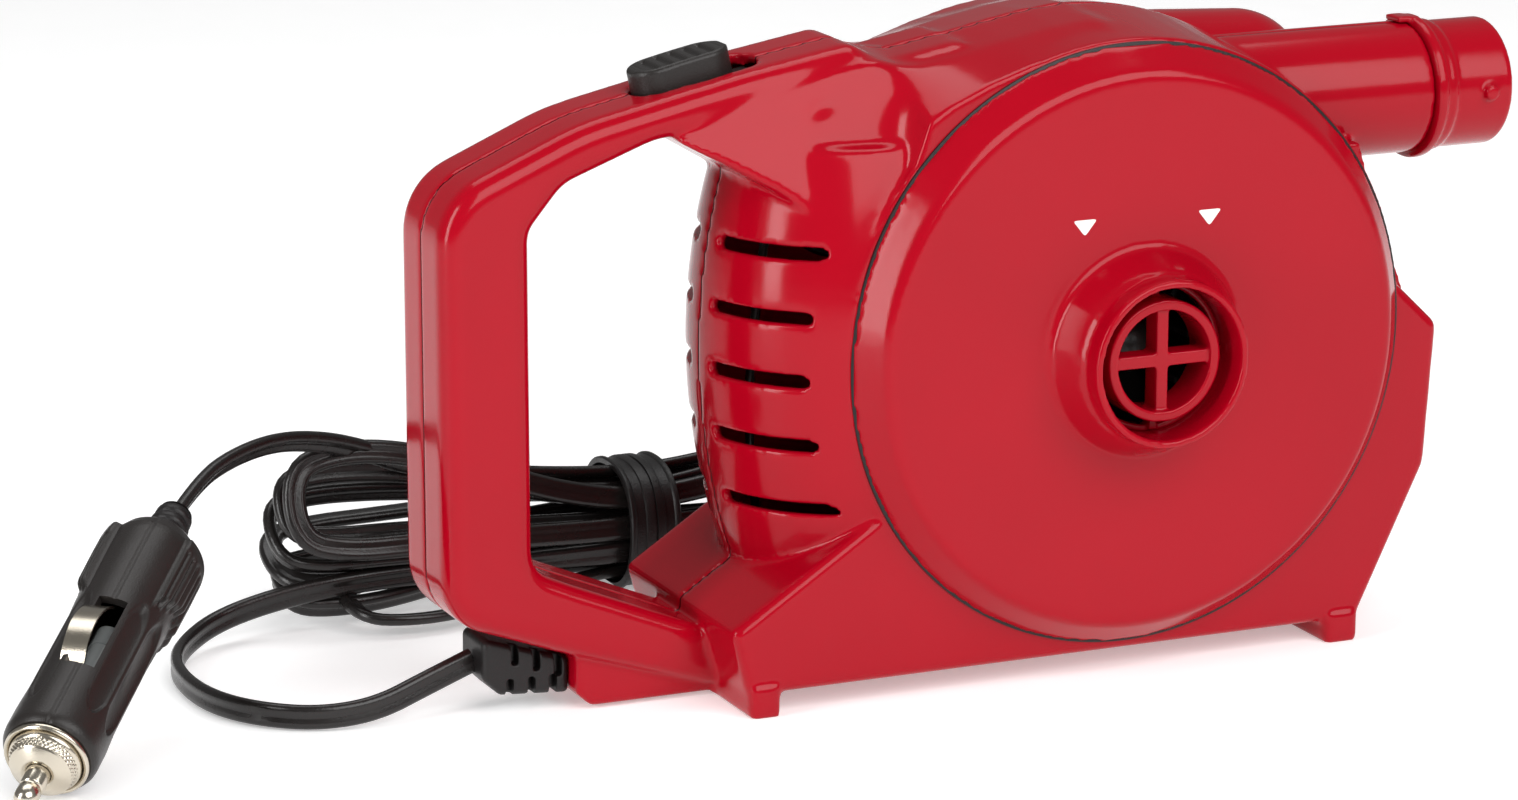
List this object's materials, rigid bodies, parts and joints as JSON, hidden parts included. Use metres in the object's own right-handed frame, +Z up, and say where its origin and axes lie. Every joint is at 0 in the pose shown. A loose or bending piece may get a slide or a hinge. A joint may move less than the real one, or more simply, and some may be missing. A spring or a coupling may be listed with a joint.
{
  "type": "electric air mattress pump",
  "caption": "Handheld electric air pump with a D handle, round blower housing with a deflate port, side inflate nozzle, slide switch and a tied lead with a vehicle socket plug.",
  "frame": {"origin": "on the floor, under the middle of the pump's own box, the free cord and plug left out", "axes": "+Z up; +X from the handle towards the inflate nozzle; -Y out of the round cover and deflate port, +Y to the rear of the motor"},
  "size_m": [0.3611, 0.1568, 0.1456],
  "materials": {
    "casing_red": "moulded ABS, glossy red",
    "black_plastic": "moulded black, satin",
    "blower_plastic": "moulded, natural white",
    "seal_rubber": "flat gasket",
    "lead_pvc": "soft black PVC",
    "nickel": "nickel plate",
    "bright_steel": "bright",
    "black_steel": "black oxide",
    "zinc_steel": "zinc plate",
    "bronze": "plain",
    "copper": "enamelled copper",
    "magnet": "ferrite",
    "carbon": "carbon",
    "capacitor": "dipped ceramic",
    "fuse_glass": "clear"
  },
  "bodies": {
    "housing": {"back_plate": "blower_plastic", "brushes": "carbon", "case_screws": "black_steel", "cord_hank": "lead_pvc", "cord_lead": "lead_pvc", "cord_tail": "lead_pvc", "cover_seal": "seal_rubber", "front_bushing": "bronze", "front_shell": "casing_red", "hank_tie": "lead_pvc", "inflate_nozzle": "casing_red", "motor_can": "zinc_steel", "motor_end_cap": "black_plastic", "motor_lead": "lead_pvc", "motor_magnets": "magnet", "motor_screws": "bright_steel", "motor_terminals": "bronze", "plate_screws": "bright_steel", "plug_fuse": "fuse_glass", "plug_nose_cap": "nickel", "plug_relief": "lead_pvc", "plug_ring": "nickel", "plug_shell_left": "black_plastic", "plug_shell_right": "black_plastic", "port_grille": "casing_red", "rear_bushing": "bronze", "rear_shell": "casing_red", "strain_relief": "lead_pvc", "supply_lead": "lead_pvc", "suppression_capacitor": "capacitor", "switch_body": "black_plastic", "switch_contacts": "bronze", "tip_spring": "bright_steel", "volute_cover": "casing_red"},
    "rotor": {"impeller": "black_plastic", "motor_shaft": "bright_steel", "armature_core": "zinc_steel", "armature_windings": "copper", "commutator": "copper"},
    "switch_slider": {"switch_button": "black_plastic"},
    "plug_plunger": {"plug_tip": "nickel"},
    "upper_contact": {"ground_contact_upper": "nickel"},
    "lower_contact": {"ground_contact_lower": "nickel"}
  },
  "joints": [
    {"name": "rotor_spin", "type": "hinge", "parent": "housing", "child": "rotor", "pos_m": [0.0233, 0, 0.0744], "axis": [0, -1, 0], "continuous": true},
    {"name": "switch_slide", "type": "slide", "parent": "housing", "child": "switch_slider", "axis": [0.9767, 0, 0.2147], "range_m": [0, 0.0055]},
    {"name": "tip_press", "type": "slide", "parent": "housing", "child": "plug_plunger", "axis": [0.5747, 0.7217, 0.3858], "range_m": [0, 0.003], "stiffness_N_per_m": 300, "springref_m": -0.001},
    {"name": "upper_contact_flex", "type": "hinge", "parent": "housing", "child": "upper_contact", "pos_m": [-0.21191, -0.01121, 0.02447], "axis": [-0.7822, 0.623, 0], "range_deg": [0, 4], "stiffness_Nm_per_rad": 0.1, "springref_deg": -1.15},
    {"name": "lower_contact_flex", "type": "hinge", "parent": "housing", "child": "lower_contact", "pos_m": [-0.20792, -0.0062, 0.00915], "axis": [0.7822, -0.623, 0], "range_deg": [0, 4], "stiffness_Nm_per_rad": 0.1, "springref_deg": -1.15}
  ]
}
